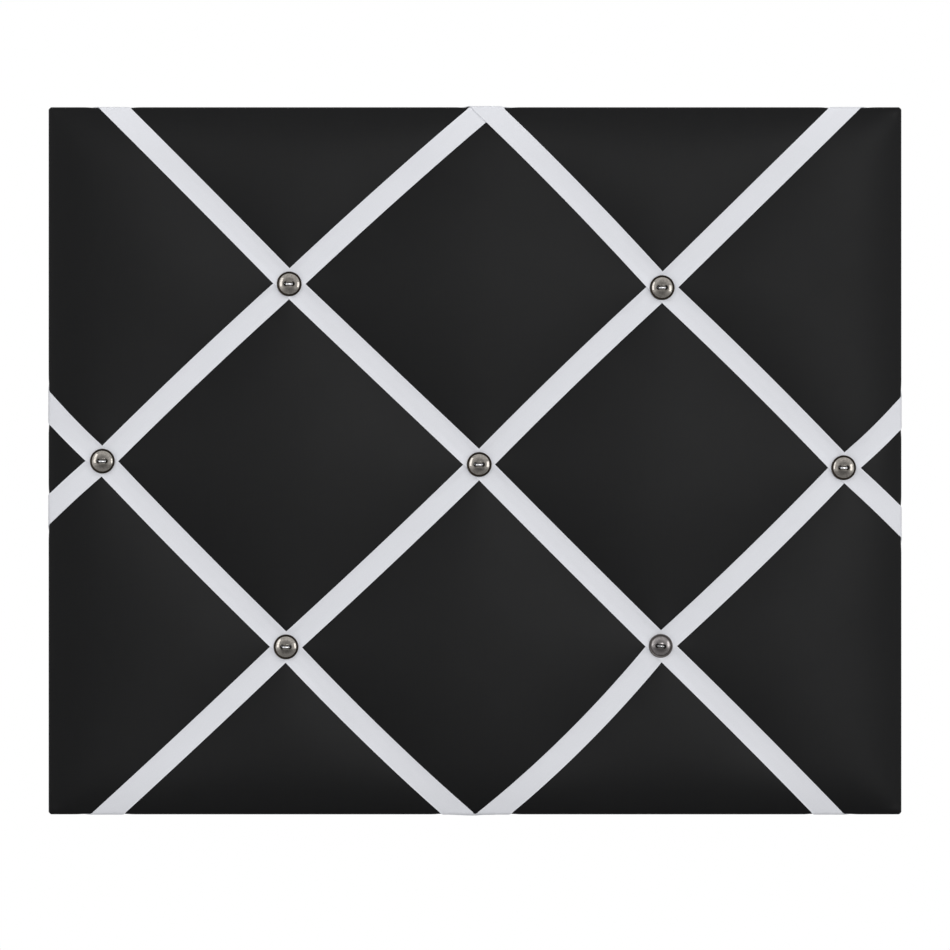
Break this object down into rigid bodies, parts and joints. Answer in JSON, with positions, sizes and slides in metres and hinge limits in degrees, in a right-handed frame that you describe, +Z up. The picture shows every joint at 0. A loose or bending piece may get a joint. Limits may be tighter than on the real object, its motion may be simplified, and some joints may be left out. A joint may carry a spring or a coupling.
{
  "type": "memo board",
  "caption": "Padded cloth-covered wall board with ribbons crossed in a diamond grid, metal buttons at the crossings and ring hangers behind, for tucking cards and photos under the ribbons.",
  "frame": {"origin": "Centre of the backing sheet's rear face, which faces the wall", "axes": "+X to the right and +Z up as seen from the front, +Y out of the back towards the wall"},
  "size_m": [0.4816, 0.0295, 0.4012],
  "materials": {
    "cover_fabric": "matt black woven cotton",
    "ribbon_satin": "white satin ribbon with fine selvedges",
    "button_metal": "antique nickel, darkened in the recesses",
    "wire_steel": "bright drawn wire",
    "core_fibreboard": "soft fibreboard",
    "wadding": "polyester wadding",
    "backing_card": "black backing card",
    "hanger_steel": "zinc plated",
    "staple_steel": "galvanised"
  },
  "bodies": {
    "board": {"backing_sheet": "backing_card", "button_centre": "button_metal", "button_lower_left": "button_metal", "button_lower_right": "button_metal", "button_mid_left": "button_metal", "button_mid_right": "button_metal", "button_upper_left": "button_metal", "button_upper_right": "button_metal", "button_wire_centre": "wire_steel", "button_wire_lower_left": "wire_steel", "button_wire_lower_right": "wire_steel", "button_wire_mid_left": "wire_steel", "button_wire_mid_right": "wire_steel", "button_wire_upper_left": "wire_steel", "button_wire_upper_right": "wire_steel", "core_board": "core_fibreboard", "cover_cloth": "cover_fabric", "cover_staple_bottom_a": "staple_steel", "cover_staple_bottom_b": "staple_steel", "cover_staple_left_a": "staple_steel", "cover_staple_left_b": "staple_steel", "cover_staple_right_a": "staple_steel", "cover_staple_right_b": "staple_steel", "cover_staple_top_a": "staple_steel", "cover_staple_top_b": "staple_steel", "hanger_screw_left": "hanger_steel", "hanger_screw_right": "hanger_steel", "hanger_strap_left": "hanger_steel", "hanger_strap_right": "hanger_steel", "ribbon_falling_left": "ribbon_satin", "ribbon_falling_middle": "ribbon_satin", "ribbon_falling_right": "ribbon_satin", "ribbon_rising_left": "ribbon_satin", "ribbon_rising_middle": "ribbon_satin", "ribbon_rising_right": "ribbon_satin", "ribbon_staple_falling_left_end": "staple_steel", "ribbon_staple_falling_left_start": "staple_steel", "ribbon_staple_falling_middle_end": "staple_steel", "ribbon_staple_falling_middle_start": "staple_steel", "ribbon_staple_falling_right_end": "staple_steel", "ribbon_staple_falling_right_start": "staple_steel", "ribbon_staple_rising_left_end": "staple_steel", "ribbon_staple_rising_left_start": "staple_steel", "ribbon_staple_rising_middle_end": "staple_steel", "ribbon_staple_rising_middle_start": "staple_steel", "ribbon_staple_rising_right_end": "staple_steel", "ribbon_staple_rising_right_start": "staple_steel", "wadding_pad": "wadding"},
    "ring_left": {"hanger_ring_left": "hanger_steel"},
    "ring_right": {"hanger_ring_right": "hanger_steel"}
  },
  "joints": [
    {"name": "ring_left_swing", "type": "hinge", "parent": "board", "child": "ring_left", "pos_m": [-0.15, 0.0023, 0.139], "axis": [1, 0, 0], "range_deg": [0, 176]},
    {"name": "ring_right_swing", "type": "hinge", "parent": "board", "child": "ring_right", "pos_m": [0.15, 0.0023, 0.139], "axis": [1, 0, 0], "range_deg": [0, 176]}
  ]
}
